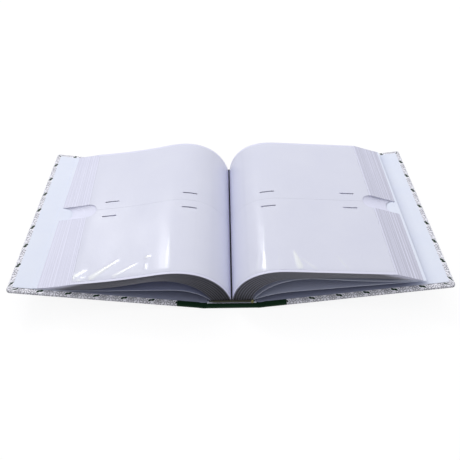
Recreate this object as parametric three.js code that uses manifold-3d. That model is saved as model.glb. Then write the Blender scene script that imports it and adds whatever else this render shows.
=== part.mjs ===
// A pocket photo album lying open at its middle on its spine, in millimetres.
// X runs across the two pages, Y along the spine from tail to head, Z up. The origin is the
// middle of the spine's underside. The front cover is on the left, at negative X.
// What is on both sides is made by functions of `side`, which is -1 on the left and 1 on the right.
import * as THREE from 'three';
import { mergeVertices } from 'three/addons/utils/BufferGeometryUtils.js';
import Module from 'manifold-3d';

const wasm = await Module();
wasm.setup();

// Case
const coverHeight = 225;        // head to tail
const coverReach = 200;         // from the hinge line to the fore-edge
const coverTilt = 9;            // degrees each cover rises from the spine
const hingeReach = 29;          // from the middle of the spine to each hinge line
const boardThickness = 2.2;
const coveringThickness = 0.4;  // printed paper and book cloth
const turnIn = 15;              // covering folded over the inside of a board
const cornerRadius = 3;
const jointWidth = 7;           // bare cloth between the hinge line and the board
const clothReach = 29;          // how far the cloth runs onto a cover
const spineBoardReach = 26;
const squareMargin = 5;         // covering left in view round the endpaper
const endpaperThickness = 0.25;

// Text block
const leafInset = 5;            // how far the covers stand past the leaves at head and tail
const leafHeight = coverHeight - 2 * leafInset;
const leafThickness = 0.3;
const leafReach = 190;          // from a leaf's root along it to its fore-edge
const leavesPerSide = 12;
const bindingReach = 24;
const bindingHeight = 2.6;
const crashThickness = 0.25;
const bandRadius = 1.4;
const bandReach = 21;

// How the sheets lie. A sheet leans from upright by `start` degrees near its root and by `finish`
// once it has run `bend` millimetres, and from `settleFrom` to its fore-edge the lean drops by
// `settle`. `reach` is a sheet's length. Leaves between the top and the lowest one take shapes
// between theirs, and below 1 the ease gives them the lowest one's shape sooner.
const topRoot = 0.9;
const lowestRoot = 20.5;
const leftTop = { root: topRoot, start: 12, finish: 102.5, bend: 105, settle: 7, reach: leafReach };
const leftLowest = { root: lowestRoot, start: 22.5, finish: 103.2, bend: 91, settle: 20, reach: leafReach };
const leftEase = 0.75;
const rightTop = { root: topRoot, start: 0, finish: 93.5, bend: 88.5, settle: 0, reach: leafReach };
const rightLowest = { root: lowestRoot, start: 4.2, finish: 90.3, bend: 69, settle: -5.5, reach: leafReach };
const rightEase = 1;
const bendLead = 15;            // the lean begins to grow as if this far before the root
const settleFrom = 90;
const pathStep = 1;             // step in which a sheet's run is added up
const stripLength = 10;         // length of the flat strips that a sheet is made of

// Endpapers that hang free between the leaves and a cover
const frontFlyleaf = { root: 22.6, start: 35.4, finish: 90.1, bend: 53.4, settle: 8.4, reach: 184 };
const backFlyleafUpper = { root: 22.6, start: 25.3, finish: 95.7, bend: 87.1, settle: 7.9, reach: 183 };
const backFlyleafLower = { root: 23.6, start: 56.8, finish: 83.4, bend: 50.4, settle: 0, reach: 177 };

// What is cut in a leaf
const notchWidth = 21;
const notchDepth = 13;
const slitLength = 16.5;
const slitWidth = 0.8;
const slitOffset = 12;          // above and below the middle of the page
const innerSlitReach = 67;
const outerSlitReach = 160;

// Clear film welded on a page, one pocket above the other
const filmThickness = 0.12;
const pocketStart = 36;         // from the root to the inner weld
const pocketMargin = 3;         // bare page at the fore-edge, head and tail
const pocketSplit = 1.5;        // half of the weld between the two pockets

const clearance = 0.3;          // between pieces that touch or turn past each other
const hingeGap = 0.5;           // from the hinge line to a cover's cloth
const notchSides = 16;
const past = 5;                 // how far a cutting tool runs past what it cuts

const radians = THREE.MathUtils.degToRad;

// Levels above the table
const spineBoardBottom = coveringThickness + clearance;
const turnInBottom = spineBoardBottom + boardThickness + clearance;
const turnInTop = turnInBottom + coveringThickness;
const liningBottom = turnInTop + clearance;
const crashBottom = liningBottom + endpaperThickness + clearance;
const bindingBottom = crashBottom + crashThickness + clearance;
const bindingTop = bindingBottom + bindingHeight;
const rootLevel = bindingTop + clearance + leafThickness / 2;

function material(color, roughness, opacity = 1) {
  return new THREE.MeshStandardMaterial({
    color, roughness, metalness: 0, opacity, transparent: opacity < 1, side: THREE.DoubleSide,
  });
}

const printedPaper = material(0xd9d9e6, 0.7);
const bookCloth = material(0x0a2416, 0.8);
const greyBoard = material(0x8f8b80, 0.9);
const endpaper = material(0xe4e9fb, 0.8);
const pageCard = material(0xf0f2f8, 0.7);
const clearFilm = material(0xe6ebf8, 0.15, 0.5);
const glueLine = material(0xcfcbbd, 0.6);
const crashCloth = material(0xb9b4a2, 0.9);
const bandThread = material(0x2c2f14, 0.7);

function solidOf(geometry) {
  const bare = geometry.clone();
  bare.deleteAttribute('normal');
  bare.deleteAttribute('uv');
  const merged = mergeVertices(bare);
  return new wasm.Manifold(new wasm.Mesh({
    numProp: 3,
    vertProperties: Float32Array.from(merged.attributes.position.array),
    triVerts: Uint32Array.from(merged.index.array),
  }));
}

function geometryOf(solid) {
  const mesh = solid.getMesh();
  const geometry = new THREE.BufferGeometry();
  geometry.setAttribute('position', new THREE.BufferAttribute(mesh.vertProperties, 3));
  geometry.setIndex(new THREE.BufferAttribute(mesh.triVerts, 1));
  geometry.computeVertexNormals();
  return geometry;
}

function named(name, geometry, finish) {
  const mesh = new THREE.Mesh(geometry, finish);
  mesh.name = name;
  return mesh;
}

// A box from x0 to x1 and z0 to z1, centred on Y. The ends may be given in either order.
function slab(x0, x1, width, z0, z1) {
  const box = new THREE.BoxGeometry(Math.abs(x1 - x0), width, z1 - z0);
  return box.translate((x0 + x1) / 2, 0, (z0 + z1) / 2);
}

// An outline of [x, z] points carried along Y, centred on `middle`
function carriedAlongSpine(outline, width, middle = 0) {
  const shape = new THREE.Shape(outline.map(([x, z]) => new THREE.Vector2(x, z)));
  const geometry = new THREE.ExtrudeGeometry(shape, { depth: width, bevelEnabled: false });
  return geometry.rotateX(Math.PI / 2).translate(0, middle + width / 2, 0);
}

// An upright block whose fore-edge corners are rounded, from x0 at the spine side to x1
function roundedBlock(side, x0, x1, width, z0, z1) {
  const half = width / 2;
  const shape = new THREE.Shape();
  shape.moveTo(x0, -half);
  shape.lineTo(x1 - cornerRadius, -half);
  shape.absarc(x1 - cornerRadius, -half + cornerRadius, cornerRadius, -Math.PI / 2, 0);
  shape.absarc(x1 - cornerRadius, half - cornerRadius, cornerRadius, 0, Math.PI / 2);
  shape.lineTo(x0, half);
  const geometry = new THREE.ExtrudeGeometry(shape, { depth: z1 - z0, bevelEnabled: false, curveSegments: 4 });
  return geometry.rotateX(side < 0 ? Math.PI : 0).rotateZ(side < 0 ? Math.PI : 0)
    .translate(0, 0, side < 0 ? z1 : z0);
}

// Covering sheet round a board: a closed wrap less the board's room and the window inside the turn-ins
function wrap(side, outer, x0, wallX, openX) {
  const room = slab(side * (x0 - past), side * wallX, coverHeight - 2 * coveringThickness,
    coveringThickness, turnInBottom);
  const window = slab(side * (x0 - past), side * openX, coverHeight - 2 * turnIn,
    turnInBottom - clearance, turnInTop + past);
  return solidOf(outer).subtract(solidOf(room)).subtract(solidOf(window));
}

function coverPaper(side) {
  const start = clothReach + clearance;
  const outer = roundedBlock(side, start, coverReach, coverHeight, 0, turnInTop);
  return geometryOf(wrap(side, outer, start, coverReach - coveringThickness, coverReach - turnIn));
}

function coverCloth(side) {
  const outer = slab(side * jointWidth, side * clothReach, coverHeight, 0, turnInTop);
  const joint = slab(side * hingeGap, side * (jointWidth + past), coverHeight, 0, coveringThickness);
  const onBoard = wrap(side, outer, jointWidth, clothReach + past, clothReach + past);
  return geometryOf(onBoard.add(solidOf(joint)));
}

function coverBoard(side) {
  const inset = coveringThickness + clearance;
  return roundedBlock(side, jointWidth, coverReach - inset, coverHeight - 2 * inset,
    spineBoardBottom, spineBoardBottom + boardThickness);
}

function pastedown(side) {
  return slab(side * jointWidth, side * (coverReach - squareMargin), coverHeight - 2 * squareMargin,
    liningBottom, liningBottom + endpaperThickness);
}

function cover(side, name) {
  const group = new THREE.Group();
  group.position.x = side * hingeReach;
  group.rotation.y = -side * radians(coverTilt);
  group.add(named(`${name}_board`, coverBoard(side), greyBoard));
  group.add(named(`${name}_paper`, coverPaper(side), printedPaper));
  group.add(named(`${name}_cloth`, coverCloth(side), bookCloth));
  group.add(named(`${name}_pastedown`, pastedown(side), endpaper));
  return group;
}

function spineCloth() {
  const strip = slab(-hingeReach + clearance, hingeReach - clearance, coverHeight, 0, coveringThickness);
  const outer = slab(-spineBoardReach, spineBoardReach, coverHeight, 0, turnInTop);
  const folded = wrap(1, outer, -spineBoardReach, spineBoardReach + past, spineBoardReach + past);
  return geometryOf(folded.add(solidOf(strip)));
}

function headband(end) {
  const band = new THREE.CylinderGeometry(bandRadius, bandRadius, 2 * bandReach, 12);
  const y = end * (leafHeight / 2 + clearance + bandRadius);
  return band.rotateZ(Math.PI / 2).translate(0, y, bindingTop - bandRadius);
}

function spine() {
  const group = new THREE.Group();
  const inset = coveringThickness + clearance;
  const boardTop = spineBoardBottom + boardThickness;
  const board = slab(-spineBoardReach, spineBoardReach, coverHeight - 2 * inset, spineBoardBottom, boardTop);
  const lining = slab(-spineBoardReach, spineBoardReach, coverHeight - 2 * squareMargin,
    liningBottom, liningBottom + endpaperThickness);
  const crash = slab(-bindingReach, bindingReach, leafHeight, crashBottom, crashBottom + crashThickness);
  const binding = slab(-bindingReach, bindingReach, leafHeight, bindingBottom, bindingTop);
  group.add(named('spine_cloth', spineCloth(), bookCloth));
  group.add(named('spine_board', board, greyBoard));
  group.add(named('spine_lining', lining, endpaper));
  group.add(named('crash_cloth', crash, crashCloth));
  group.add(named('leaf_binding', binding, glueLine));
  group.add(named('tail_band', headband(-1), bandThread));
  group.add(named('head_band', headband(1), bandThread));
  return group;
}

// A sheet's angle from upright, in radians, at a distance along it
function lean(sheet, along) {
  const bent = THREE.MathUtils.smoothstep(along, -bendLead, sheet.bend);
  const settled = THREE.MathUtils.smoothstep(along, settleFrom, leafReach);
  return radians(sheet.start + (sheet.finish - sheet.start) * bent - sheet.settle * settled);
}

// Where a sheet runs: the point at a distance along it, on the side where X is positive
function sheetPoint(sheet, along) {
  const point = new THREE.Vector2(sheet.root, rootLevel);
  const count = Math.ceil(along / pathStep);
  for (let step = 0; step < count; step++) {
    const angle = lean(sheet, (step + 0.5) * along / count);
    point.x += Math.sin(angle) * along / count;
    point.y += Math.cos(angle) * along / count;
  }
  return point;
}

// The two faces of a sheet between two distances along it, `lift` above the sheet's own middle
function sheetOutline(side, sheet, from, to, thickness, lift = 0) {
  const lower = [];
  const upper = [];
  const strips = Math.round((to - from) / stripLength);
  for (let step = 0; step <= strips; step++) {
    const along = THREE.MathUtils.lerp(from, to, step / strips);
    const point = sheetPoint(sheet, along);
    const angle = lean(sheet, along);
    const across = new THREE.Vector2(-Math.cos(angle), Math.sin(angle));
    lower.push(point.clone().addScaledVector(across, lift - thickness / 2));
    upper.push(point.clone().addScaledVector(across, lift + thickness / 2));
  }
  return [...lower, ...upper.reverse()].map((point) => [side * point.x, point.y]);
}

// A U-shaped tool that opens past the fore-edge, with a half round at its inner end
function notchTool(side, edge) {
  const radius = notchWidth / 2;
  const centre = edge - notchDepth + radius;
  const shape = new THREE.Shape();
  shape.moveTo(edge + past, -radius);
  shape.lineTo(edge + past, radius);
  shape.lineTo(centre, radius);
  shape.absarc(centre, 0, radius, Math.PI / 2, 1.5 * Math.PI);
  const tall = leafReach;
  const tool = new THREE.ExtrudeGeometry(shape, { depth: tall, bevelEnabled: false, curveSegments: notchSides });
  return solidOf(side < 0 ? tool.rotateZ(Math.PI) : tool);
}

function slitTool(side, sheet, reach, middle) {
  const inner = sheetPoint(sheet, reach - slitLength / 2).x;
  const outer = sheetPoint(sheet, reach + slitLength / 2).x;
  return solidOf(slab(side * inner, side * outer, slitWidth, 0, leafReach).translate(0, middle, 0));
}

// The thumb notch and the slits, which go through the card and its film alike
function punched(side, sheet, whole) {
  let solid = whole.subtract(notchTool(side, sheetPoint(sheet, sheet.reach).x));
  for (const reach of [innerSlitReach, outerSlitReach]) {
    for (const middle of [-slitOffset, slitOffset]) {
      solid = solid.subtract(slitTool(side, sheet, reach, middle));
    }
  }
  return geometryOf(solid);
}

function leaf(side, sheet) {
  const outline = sheetOutline(side, sheet, 0, sheet.reach, leafThickness);
  return punched(side, sheet, solidOf(carriedAlongSpine(outline, leafHeight)));
}

// The clear front of one pocket, just above the page that it is welded to
function pocketFilm(side, sheet, end) {
  const lift = leafThickness / 2 + clearance + filmThickness / 2;
  const height = leafHeight / 2 - pocketMargin - pocketSplit;
  const outline = sheetOutline(side, sheet, pocketStart, sheet.reach - pocketMargin, filmThickness, lift);
  const middle = end * (pocketSplit + height / 2);
  return punched(side, sheet, solidOf(carriedAlongSpine(outline, height, middle)));
}

function flyleaf(side, sheet) {
  const outline = sheetOutline(side, sheet, 0, sheet.reach, endpaperThickness);
  return carriedAlongSpine(outline, leafHeight);
}

// A leaf between two others: its root is spread evenly, its shape with the ease
function between(top, lowest, share, ease) {
  const sheet = {};
  for (const key of Object.keys(top)) {
    sheet[key] = THREE.MathUtils.lerp(top[key], lowest[key], share ** ease);
  }
  sheet.root = THREE.MathUtils.lerp(top.root, lowest.root, share);
  return sheet;
}

function leaves(side, name, top, lowest, ease) {
  const group = new THREE.Group();
  for (let count = 1; count <= leavesPerSide; count++) {
    const sheet = between(top, lowest, (count - 1) / (leavesPerSide - 1), ease);
    group.add(named(`${name}_leaf_${String(count).padStart(2, '0')}`, leaf(side, sheet), pageCard));
  }
  group.add(named(`${name}_pocket_upper`, pocketFilm(side, top, 1), clearFilm));
  group.add(named(`${name}_pocket_lower`, pocketFilm(side, top, -1), clearFilm));
  return group;
}

const album = new THREE.Group();
album.add(spine());
album.add(cover(-1, 'front'));
album.add(cover(1, 'back'));
album.add(leaves(-1, 'left', leftTop, leftLowest, leftEase));
album.add(leaves(1, 'right', rightTop, rightLowest, rightEase));
album.add(named('front_flyleaf', flyleaf(-1, frontFlyleaf), endpaper));
album.add(named('back_flyleaf_upper', flyleaf(1, backFlyleafUpper), endpaper));
album.add(named('back_flyleaf_lower', flyleaf(1, backFlyleafLower), endpaper));

export default album;
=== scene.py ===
# %% [markdown]
# # A pocket photo album, lying open at its middle
#
# The album is a hard case, two boards and a spine, round a block of card leaves with clear
# pockets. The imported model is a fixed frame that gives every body, hinge and size, and this
# script dresses it. Each step says what a piece is on the real object, how it could be made in
# Blender, and why it is made this way.

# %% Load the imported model
import math
from functools import partialmethod, reduce

import bmesh
import bpy
import numpy as np
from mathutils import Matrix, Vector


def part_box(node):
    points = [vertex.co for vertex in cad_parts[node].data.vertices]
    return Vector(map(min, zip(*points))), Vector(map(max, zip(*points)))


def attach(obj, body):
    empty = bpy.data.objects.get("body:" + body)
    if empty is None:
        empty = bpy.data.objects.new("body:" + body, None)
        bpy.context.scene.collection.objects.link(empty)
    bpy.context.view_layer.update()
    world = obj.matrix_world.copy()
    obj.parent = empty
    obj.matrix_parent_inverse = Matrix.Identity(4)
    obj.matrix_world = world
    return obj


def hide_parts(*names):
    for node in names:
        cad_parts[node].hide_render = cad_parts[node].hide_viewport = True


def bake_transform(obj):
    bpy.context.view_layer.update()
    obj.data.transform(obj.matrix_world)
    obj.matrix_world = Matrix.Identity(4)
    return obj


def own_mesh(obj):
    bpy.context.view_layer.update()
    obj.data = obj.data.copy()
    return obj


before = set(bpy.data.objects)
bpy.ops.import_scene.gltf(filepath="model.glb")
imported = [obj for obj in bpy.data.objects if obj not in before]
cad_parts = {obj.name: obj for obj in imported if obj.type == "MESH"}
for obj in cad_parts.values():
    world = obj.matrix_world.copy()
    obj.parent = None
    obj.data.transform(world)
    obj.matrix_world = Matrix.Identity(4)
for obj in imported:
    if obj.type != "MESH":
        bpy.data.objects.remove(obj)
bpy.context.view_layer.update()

# %% [markdown]
# ## Sizes
# A bookbinder measures in millimetres, and so does this script until a shape becomes a mesh.
# What the frame knows is read from it. X runs across the two pages, Y along the spine from
# tail to head, and Z up.

# %% Sizes of the case and the block
MM = 0.001
LEFT, RIGHT = -1, 1
COVER_OF = {LEFT: "front", RIGHT: "back"}
BLOCK_OF = {LEFT: "left", RIGHT: "right"}


def node_box(node):
    """Lowest and highest corner of a CAD node, in millimetres."""
    low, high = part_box(node)
    return np.array(low) / MM, np.array(high) / MM


COVER_HALF = node_box("spine_cloth")[1][1]
LEAF_HALF = node_box("left_leaf_01")[1][1]
PASTEDOWN_HALF = node_box("front_pastedown")[1][1]
HINGE_REACH = 29.0
COVER_TILT = math.radians(9)
COVER_REACH = 200.0
CLOTH_REACH = 29.0
PASTEDOWN_REACH = 195.0
SPINE_BOARD_REACH = node_box("spine_board")[1][0]
TURN_IN = 15.0
CORNER_RADIUS = 3.0
COVERING = 0.4
COVERING_LOW = COVERING / 2
COVERING_HIGH = node_box("spine_cloth")[1][2] - COVERING / 2
ENDPAPER = 0.25
LINING_LEVEL = node_box("spine_lining")[0][2] + ENDPAPER / 2
print(f"covers {2 * COVER_HALF:.1f} mm high, leaves {2 * LEAF_HALF:.1f} mm high")

# %% [markdown]
# ## From numbers to meshes
# Every new piece starts as a grid of points, worked out by a formula with numpy in one go, and
# neighbouring points make square faces. Where grids of a piece meet, their points are merged.
# Each point also carries its place on the flat sheet, the UV map, in real metres, so that a
# weave or a print keeps its size. A share called shade darkens the cut ends of the pages and
# what lies under them, and it marks the creases of the film.

# %% Grids, pieces and modifiers
def grid_faces(rows, columns):
    """The four corner numbers of every square between neighbouring points, as rows of squares."""
    corner = np.arange(rows * columns).reshape(rows, columns)
    return np.stack([corner[:-1, :-1], corner[:-1, 1:], corner[1:, 1:], corner[1:, :-1]], axis=-1)


def points_at(*parts):
    """Coordinates put together as points. Each may be a number, a row, a column or a grid."""
    return np.stack(np.broadcast_arrays(*parts), axis=-1)


def grid(points, flat=None, kept=None, shade=0.0):
    """One grid of a piece: points in millimetres, their places on the flat sheet, the squares
    that are kept, and the shade of each point."""
    rows, columns = points.shape[:2]
    faces = grid_faces(rows, columns)
    return {
        "points": points.reshape(-1, 3),
        "faces": faces.reshape(-1, 4) if kept is None else faces[kept],
        "flat": (points[..., :2] if flat is None else flat).reshape(-1, 2),
        "shade": (shade + 0 * points[..., 0]).ravel(),
    }


def make_piece(name, grids, finish, thickness=0.0, closed=False, merge=0.002):
    """A mesh from grids that meet. A sheet gets its thickness from Solidify, and the weighted
    normals keep its broad faces smooth up to the cut edge."""
    starts = np.cumsum([0] + [len(part["points"]) for part in grids[:-1]])
    points = np.concatenate([part["points"] for part in grids]) * MM
    faces = np.concatenate([part["faces"] + start for part, start in zip(grids, starts)])
    mesh = bpy.data.meshes.new(name)
    mesh.from_pydata(points.tolist(), [], faces.tolist())
    flat = np.concatenate([part["flat"] for part in grids]) * MM
    mesh.uv_layers.new(name="flat")
    mesh.uv_layers["flat"].data.foreach_set("uv", flat[faces.ravel()].astype(np.float32).ravel())
    shade = mesh.attributes.new("shade", "FLOAT", "POINT")
    shade.data.foreach_set("value", np.concatenate([part["shade"] for part in grids]).astype(np.float32))
    tidy_mesh(mesh, merge * MM, closed)
    mesh.materials.append(finish)
    mesh.shade_smooth()
    piece = bpy.data.objects.new(name, mesh)
    bpy.context.scene.collection.objects.link(piece)
    if thickness:
        wall = piece.modifiers.new("thickness", "SOLIDIFY")
        wall.thickness = thickness * MM
        wall.offset = 0.0
        piece.modifiers.new("flat faces", "WEIGHTED_NORMAL").keep_sharp = True
    print(name, "made")
    return piece


def tidy_mesh(mesh, distance, closed):
    """Merges points that meet, drops points that no face uses, and turns a closed shell outwards."""
    work = bmesh.new()
    work.from_mesh(mesh)
    bmesh.ops.remove_doubles(work, verts=work.verts, dist=distance)
    loose = [vertex for vertex in work.verts if not vertex.link_faces]
    bmesh.ops.delete(work, geom=loose, context="VERTS")
    if closed:
        bmesh.ops.recalc_face_normals(work, faces=work.faces)
    work.to_mesh(mesh)
    work.free()


def smooth_step(value, start, end):
    """0 before start, 1 after end, and a smooth S between them."""
    share = np.clip((value - start) / (end - start), 0, 1)
    return share * share * (3 - 2 * share)


def waves(seed, count, reach, along, long_wave, short_wave):
    """Soft unevenness between about -1 and 1: a sum of plane waves with random headings."""
    chance = np.random.default_rng(seed)
    total = 0 * reach + 0 * along
    for _ in range(count):
        heading = chance.uniform(0, 2 * math.pi)
        pitch = 2 * math.pi / chance.uniform(short_wave, long_wave)
        run = reach * math.cos(heading) + along * math.sin(heading)
        total = total + np.sin(pitch * run + chance.uniform(0, 2 * math.pi))
    return total / math.sqrt(count)


# %% [markdown]
# ## Wiring a finish
# A finish is a small web of nodes. Written out, each sum would take three lines, so a number on
# its way through the web is wrapped: adding or comparing two of them places the Math node.

# %% Numbers in a node tree
def colour(red, green, blue):
    """A screen colour from 0 to 255 as the linear colour that the shader takes."""
    shares = [value / 255 for value in (red, green, blue)]
    linear = [share / 12.92 if share <= 0.04045 else ((share + 0.055) / 1.055) ** 2.4 for share in shares]
    return (*linear, 1.0)


def add_node(tree, kind, values=(), **settings):
    """A new node with its settings made, and each of its inputs linked or set to a value."""
    node = tree.nodes.new(kind)
    for name, setting in settings.items():
        setattr(node, name, setting)
    for place, value in dict(values).items():
        value = value.socket if isinstance(value, Wire) else value
        if isinstance(value, bpy.types.NodeSocket):
            tree.links.new(value, node.inputs[place])
        else:
            node.inputs[place].default_value = value
    return node


class Wire:
    """A number that runs through the nodes of one material."""

    def __init__(self, tree, socket):
        self.tree = tree
        self.socket = socket

    def step(self, operation, *others):
        node = add_node(self.tree, "ShaderNodeMath", enumerate((self, *others)), operation=operation)
        return Wire(self.tree, node.outputs[0])

    __add__ = partialmethod(step, "ADD")
    __sub__ = partialmethod(step, "SUBTRACT")
    __mul__ = partialmethod(step, "MULTIPLY")
    __truediv__ = partialmethod(step, "DIVIDE")
    below = partialmethod(step, "LESS_THAN")
    larger = partialmethod(step, "MAXIMUM")
    fraction = partialmethod(step, "FRACT")

    def ramp(self, start, end):
        """0 at start, 1 at end, held to that range."""
        node = add_node(self.tree, "ShaderNodeMapRange", {"Value": self, "From Min": start, "From Max": end})
        return Wire(self.tree, node.outputs["Result"])


def new_finish(name, roughness, specular=0.5, **sockets):
    """A material, its node tree and its shader, with the plain values set on the shader itself."""
    finish = bpy.data.materials.new(name)
    finish.use_nodes = True
    shader = finish.node_tree.nodes["Principled BSDF"]
    shader.inputs["Roughness"].default_value = roughness
    shader.inputs["Specular IOR Level"].default_value = specular
    for socket, value in sockets.items():
        shader.inputs[socket.replace("_", " ")].default_value = value
    return finish, finish.node_tree, shader


def parts_of(tree, vector, axes):
    """Parts of a vector, each as a number in millimetres."""
    parts = add_node(tree, "ShaderNodeSeparateXYZ", {"Vector": vector})
    return [Wire(tree, parts.outputs[axis]) / MM for axis in axes]


def flat_place(tree):
    """Across and along on the piece's own flat sheet, in millimetres."""
    return parts_of(tree, add_node(tree, "ShaderNodeUVMap", uv_map="flat").outputs["UV"], "XY")


def object_place(tree):
    """X, Y and Z of the piece, in millimetres."""
    return parts_of(tree, add_node(tree, "ShaderNodeTexCoord").outputs["Object"], "XYZ")


def joined(tree, *numbers):
    """Numbers put together as one vector."""
    return add_node(tree, "ShaderNodeCombineXYZ", enumerate(numbers)).outputs["Vector"]


def noise(tree, vector, scale, detail=2.0):
    node = add_node(tree, "ShaderNodeTexNoise", {"Vector": vector, "Scale": scale, "Detail": detail})
    return Wire(tree, node.outputs["Fac"])


def blended(tree, share, first, second):
    """A colour between two, by a share. Inputs 6 and 7 of a Mix node are its two colours."""
    return add_node(tree, "ShaderNodeMix", {0: share, 6: first, 7: second}, data_type="RGBA").outputs[2]


def painted(tree, shader, paint, height, depth, strength=1.0):
    """Gives the shader a colour, and a bump of that depth in millimetres."""
    bump = add_node(tree, "ShaderNodeBump", {"Distance": depth * MM, "Strength": strength, "Height": height})
    tree.links.new(paint, shader.inputs["Base Color"])
    tree.links.new(bump.outputs["Normal"], shader.inputs["Normal"])


def dress_node(node, finish):
    """Gives a finish to a piece of the frame that keeps its simple shape."""
    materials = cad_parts[node].data.materials
    materials.clear()
    materials.append(finish)


# %% [markdown]
# ## Card, film and endpaper
# The leaves are white card with a cold, slightly lilac cast. Their cut ends stand in each other's shade, so
# they are painted dark grey: painted shade. The pockets are clear film, and only white card shows through
# it, so it is made as a milky, nearly opaque layer with a gloss. Its creases get a painted highlight, a
# whiter colour, and are a little metallic so that they mirror more. The endpaper is plain uncoated paper, a
# little bluer, and painted in shade where it lies under the block.

# %% Finishes of the papers
def shade_of(tree):
    return Wire(tree, add_node(tree, "ShaderNodeAttribute", attribute_name="shade").outputs["Fac"])


def card_finish():
    finish, tree, shader = new_finish("page_card", roughness=0.42, specular=0.4)
    place = joined(tree, *flat_place(tree))
    pale = blended(tree, noise(tree, place, 0.03), colour(224, 225, 246), colour(232, 233, 252))
    # Painted shade: the cut ends, where the leaves shade each other, are painted dark grey.
    ends = blended(tree, shade_of(tree), pale, colour(66, 66, 73))
    painted(tree, shader, ends, noise(tree, place, 2.5, 4.0), 0.02)
    return finish


def film_finish():
    finish, tree, shader = new_finish("clear_film", roughness=0.25, specular=0.28, Alpha=0.9)
    place = joined(tree, *flat_place(tree))
    milk = blended(tree, noise(tree, place, 0.02), colour(230, 232, 250), colour(237, 239, 254))
    # Painted highlight: the creases are painted whiter, and made a little metallic so that they mirror more.
    painted_highlight = shade_of(tree).ramp(0.05, 0.45)
    tree.links.new((painted_highlight * 0.22).socket, shader.inputs["Metallic"])
    crease_highlight = blended(tree, painted_highlight, milk, colour(247, 250, 255))
    painted(tree, shader, crease_highlight, noise(tree, place, 0.18, 3.0), 0.12, 0.5)
    return finish


def endpaper_finish():
    finish, tree, shader = new_finish("endpaper", roughness=0.75, specular=0.25)
    place = joined(tree, *object_place(tree))
    pale = blended(tree, noise(tree, place, 0.05), colour(231, 237, 255), colour(237, 242, 255))
    # Painted shade where the paper lies under the block of leaves.
    under = blended(tree, shade_of(tree), pale, colour(72, 79, 124))
    painted(tree, shader, under, noise(tree, place, 3.0, 5.0), 0.03)
    return finish


PAGE_CARD = card_finish()
CLEAR_FILM = film_finish()
END_PAPER = endpaper_finish()

# %% [markdown]
# ## Printed paper, book cloth and board
# The covers are wrapped in pale paper with a small botanical print: grey sprays of thin rays
# that end in dots, with pairs of dark green leaves between them. It is drawn from distances: on
# a repeating square, a ray is where the angle round a point is near a multiple of one step, and
# a leaf lies between two parabolas. The book cloth is a near black green, woven over and under.

# %% Finishes of the case
PRINT_REPEAT = 28.0
SPRAY_RAYS = 10.0
RAY_HALF_WIDTH = 0.013
RAY_MIDDLE = 0.625
RAY_REACH = 0.375
DOT_AREA = 0.0006
MARK_SIZE = (0.08, 0.045)

# Place in the repeat, radius and turn of each spray, and place and turn of each leaf
SPRAYS = (((0.03, 0.76), 0.22, 20), ((0.27, 0.62), 0.15, 70), ((0.8, 0.84), 0.16, 130),
          ((0.22, 0.12), 0.24, -35), ((0.62, 0.27), 0.2, 10), ((0.42, 0.46), 0.15, 200),
          ((0.92, 0.42), 0.14, 60), ((0.73, 0.6), 0.12, 110))
LEAF_MARKS = (((0.56, 0.73), 30), ((0.45, 0.7), 42), ((0.19, 0.37), 30), ((0.15, 0.27), 48))


def repeated(across, along, shift):
    """Place inside a repeating square whose middle is 0, moved by a share of the repeat."""
    return [(number / PRINT_REPEAT + part).fraction() - 0.5 for number, part in zip((across, along), shift)]


def turned(x, y, degrees):
    turn = math.radians(degrees)
    return x * math.cos(turn) + y * math.sin(turn), y * math.cos(turn) - x * math.sin(turn)


def spray(x, y, radius):
    """1 on the thin rays of a spray and on the dots at their tips, 0 beside them."""
    run = (x * x + y * y).step("SQRT")
    angle = y.step("ARCTAN2", x) / (2 * math.pi)
    side = ((angle * SPRAY_RAYS).fraction() - 0.5).step("ABSOLUTE") * run * (2 * math.pi / SPRAY_RAYS)
    ring = (run - radius).step("ABSOLUTE")
    ray = side.below(RAY_HALF_WIDTH) * (run - radius * RAY_MIDDLE).step("ABSOLUTE").below(radius * RAY_REACH)
    dot = (ring * ring + side * side).below(DOT_AREA)
    return ray.larger(dot)


def leaf_mark(x, y, length, width):
    """1 inside a leaf that lies between two parabolas, 0 beside it."""
    long_part = (x / length) * (x / length)
    wide_part = (y / width).step("ABSOLUTE")
    return (long_part + wide_part).below(1.0)


def print_finish():
    finish, tree, shader = new_finish("printed_paper", roughness=0.5, specular=0.35)
    across, along = flat_place(tree)
    place = joined(tree, across, along)
    sprays = reduce(Wire.larger, [
        spray(*turned(*repeated(across, along, shift), turn), radius) for shift, radius, turn in SPRAYS])
    leaves = reduce(Wire.larger, [
        leaf_mark(*turned(*repeated(across, along, shift), turn), *MARK_SIZE) for shift, turn in LEAF_MARKS])
    ground = blended(tree, noise(tree, place, 0.06), colour(238, 238, 250), colour(246, 246, 254))
    grey = blended(tree, sprays * 0.7, ground, colour(108, 108, 118))
    green = blended(tree, leaves, grey, colour(12, 46, 26))
    painted(tree, shader, green, noise(tree, place, 2.0, 4.0), 0.02)
    return finish


CLOTH_THREAD = 0.7


def cloth_finish():
    finish, tree, shader = new_finish("book_cloth", roughness=0.75, specular=0.15, Sheen_Weight=0.05)
    across, along = flat_place(tree)
    thread = 2 * math.pi / CLOTH_THREAD
    warp = (across * thread).step("SINE")
    weft = (along * thread).step("SINE")
    weave = warp * weft * 0.5 + 0.5
    slub = noise(tree, joined(tree, across * 0.3, along), 1.2)
    green = blended(tree, weave * 0.6 + slub * 0.4, colour(3, 24, 10), colour(14, 56, 30))
    painted(tree, shader, green, weave, 0.08)
    return finish


def mottled_finish(name, roughness, specular, grain, spread, dark, pale, depth):
    """Two tones that mingle. grain is the scale and detail of the noise, and spread the part of
    its range over which the tones change."""
    finish, tree, shader = new_finish(name, roughness, specular)
    mottle = noise(tree, joined(tree, *object_place(tree)), *grain).ramp(*spread)
    painted(tree, shader, blended(tree, mottle, colour(*dark), colour(*pale)), mottle, depth)
    return finish


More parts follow.
